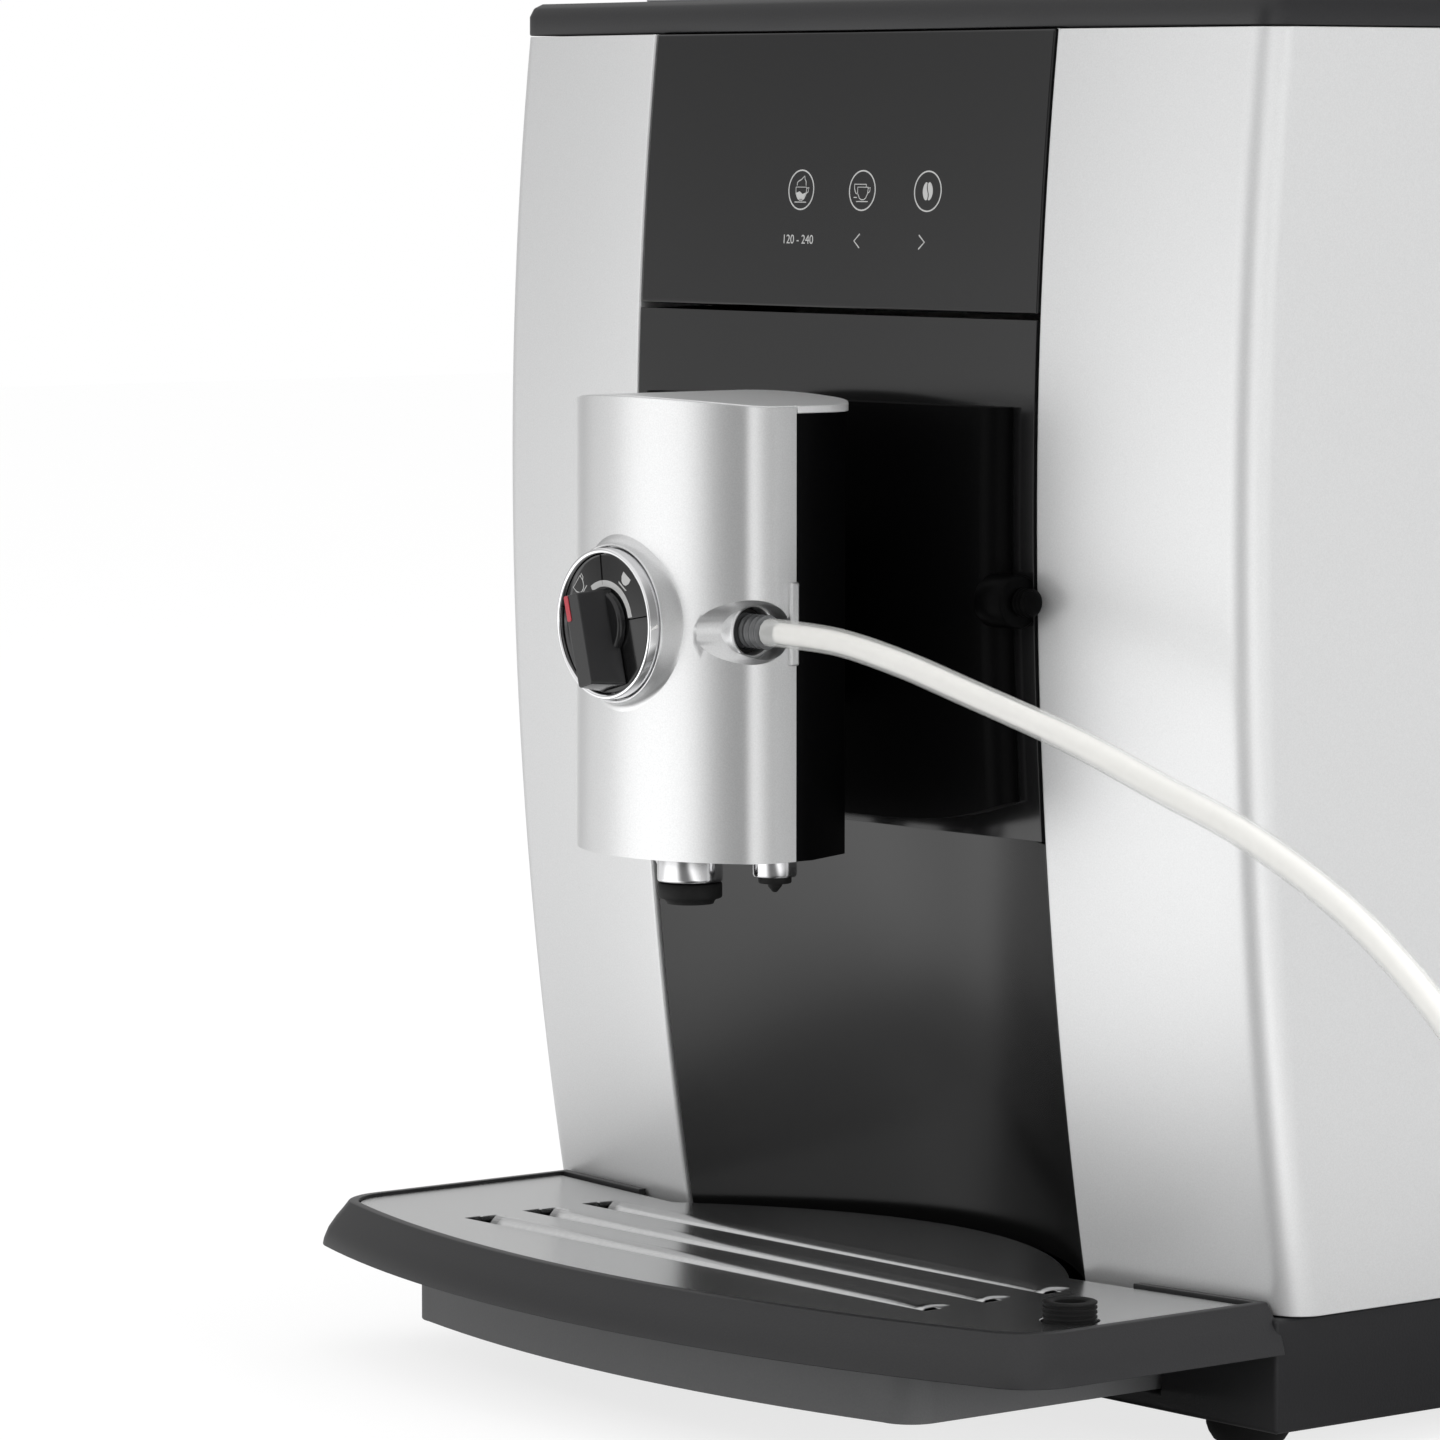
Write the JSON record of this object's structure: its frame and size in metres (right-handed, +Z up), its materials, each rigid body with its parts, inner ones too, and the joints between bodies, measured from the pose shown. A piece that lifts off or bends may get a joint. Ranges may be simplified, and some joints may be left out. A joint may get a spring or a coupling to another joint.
{
  "type": "automatic coffee machine",
  "caption": "Silver and black automatic coffee machine with a sliding spout, milk dial and hose, drip tray, water tank, bean hopper, grinder and brew unit.",
  "frame": {"origin": "middle of the machine's footprint, on the surface it stands on", "axes": "+Z up, the front with the spout faces -Y, +X is the machine's left as it faces the user, which is the viewer's right"},
  "size_m": [0.5646, 0.45, 0.37],
  "materials": {
    "black_plastic": "fine matt",
    "rubber": "matt",
    "steel_sheet": "brushed",
    "grey_plastic": "matt",
    "silver_paint": "satin metallic",
    "black_gloss": "high gloss",
    "black_glass": "polished, printed black behind",
    "board": "lacquered",
    "dark_grey": "satin",
    "silver_plate": "satin",
    "smoked_plastic": "smoked, clear",
    "motor_metal": "plain",
    "burr_steel": "ground",
    "heater_aluminium": "cast",
    "chrome": "polished",
    "grey_silicone": "translucent satin",
    "milky_silicone": "satin"
  },
  "bodies": {
    "machine": {"base_frame": "black_plastic", "foot_front_left": "rubber", "foot_front_right": "rubber", "foot_rear_left": "rubber", "foot_rear_right": "rubber", "chassis_deck": "steel_sheet", "bulkhead": "grey_plastic", "right_side_shell": "silver_paint", "left_side_shell": "silver_paint", "rear_cover": "black_plastic", "top_cover": "black_plastic", "cup_plate": "steel_sheet", "front_fascia": "black_gloss", "touch_panel": "black_glass", "display_board": "board", "spout_guide": "black_plastic", "hose_parking_spigot": "rubber", "splash_panel": "black_gloss", "bean_hopper": "smoked_plastic", "grinder_motor": "motor_metal", "grinder_housing": "dark_grey", "upper_burr": "burr_steel", "ground_chute": "dark_grey", "brew_frame": "grey_plastic", "brew_cylinder": "smoked_plastic", "brew_motor": "motor_metal", "grounds_container": "dark_grey", "thermoblock": "heater_aluminium", "water_pump": "motor_metal", "control_board": "board", "mains_inlet": "black_plastic", "milk_hose": "milky_silicone", "hose_end_fitting": "burr_steel"},
    "spout": {"spout_shell": "silver_paint", "spout_rear_body": "black_plastic", "spout_lid": "silver_paint", "spout_carriage": "black_plastic", "dial_ring": "chrome", "dial_face": "black_gloss", "frother_body": "dark_grey", "milk_socket": "rubber", "hose_adapter": "grey_silicone", "main_nozzle": "chrome", "nozzle_ring": "rubber", "coffee_outlet_left": "chrome", "coffee_outlet_right": "chrome"},
    "dial": {"dial_knob": "black_gloss"},
    "tray": {"drip_tray": "dark_grey"},
    "plate": {"drip_plate": "silver_plate"},
    "float": {"drip_float": "rubber"},
    "tank": {"water_tank": "smoked_plastic"},
    "tank_cover": {"tank_lid": "black_plastic"},
    "bean_cover": {"bean_lid": "smoked_plastic"},
    "flap": {"chute_flap": "black_plastic"},
    "setting_knob": {"grind_knob": "black_plastic"},
    "burr": {"lower_burr": "burr_steel"},
    "spindle": {"brew_spindle": "burr_steel"},
    "piston": {"brew_piston": "dark_grey"},
    "rocker": {"power_rocker": "black_gloss"},
    "door": {"service_door": "silver_paint"}
  },
  "joints": [
    {"name": "spout_height", "type": "slide", "parent": "machine", "child": "spout", "axis": [0, 0, 1], "range_m": [-0.02, 0.03]},
    {"name": "milk_dial", "type": "hinge", "parent": "spout", "child": "dial", "pos_m": [0, -0.2128, 0.2066], "axis": [0, 1, 0], "range_deg": [0, 105]},
    {"name": "drip_tray_slide", "type": "slide", "parent": "machine", "child": "tray", "axis": [0, -1, 0], "range_m": [0, 0.15]},
    {"name": "drip_plate_lift", "type": "slide", "parent": "tray", "child": "plate", "axis": [0, 0, 1], "range_m": [0, 0.015]},
    {"name": "float_rise", "type": "slide", "parent": "tray", "child": "float", "axis": [0, 0, 1], "range_m": [0, 0.006]},
    {"name": "tank_lift", "type": "slide", "parent": "machine", "child": "tank", "axis": [0, 0, 1], "range_m": [0, 0.25]},
    {"name": "tank_lid_hinge", "type": "hinge", "parent": "tank", "child": "tank_cover", "pos_m": [-0.082, 0.199, 0.37], "axis": [-1, 0, 0], "range_deg": [0, 105]},
    {"name": "bean_lid_hinge", "type": "hinge", "parent": "machine", "child": "bean_cover", "pos_m": [0.08, 0.161, 0.37], "axis": [-1, 0, 0], "range_deg": [0, 105]},
    {"name": "chute_flap_hinge", "type": "hinge", "parent": "machine", "child": "flap", "pos_m": [0, 0.0905, 0.37], "axis": [-1, 0, 0], "range_deg": [0, 100]},
    {"name": "grind_setting", "type": "hinge", "parent": "machine", "child": "setting_knob", "pos_m": [0.08, 0.028, 0.3663], "axis": [0, 0, 1], "range_deg": [-60, 60]},
    {"name": "burr_spin", "type": "hinge", "parent": "machine", "child": "burr", "pos_m": [0.08, 0.102, 0.2146], "axis": [0, 0, 1], "continuous": true},
    {"name": "brew_screw", "type": "hinge", "parent": "machine", "child": "spindle", "pos_m": [-0.044, -0.02, 0.1233], "axis": [0, 0, 1], "range_deg": [0, 1441]},
    {"name": "brew_press", "type": "slide", "parent": "machine", "child": "piston", "axis": [0, 0, -1], "range_m": [0, 0.04]},
    {"name": "power_switch", "type": "hinge", "parent": "machine", "child": "rocker", "pos_m": [0.1, 0.222, 0.075], "axis": [-1, 0, 0], "range_deg": [0, 8]},
    {"name": "service_door_hinge", "type": "hinge", "parent": "machine", "child": "door", "pos_m": [-0.151, 0.0354, 0.16], "axis": [0, 0, -1], "range_deg": [0, 100]}
  ],
  "couplings": [
    {"joint": "brew_screw", "follows": "brew_press", "rad_per_m": 628.32}
  ]
}
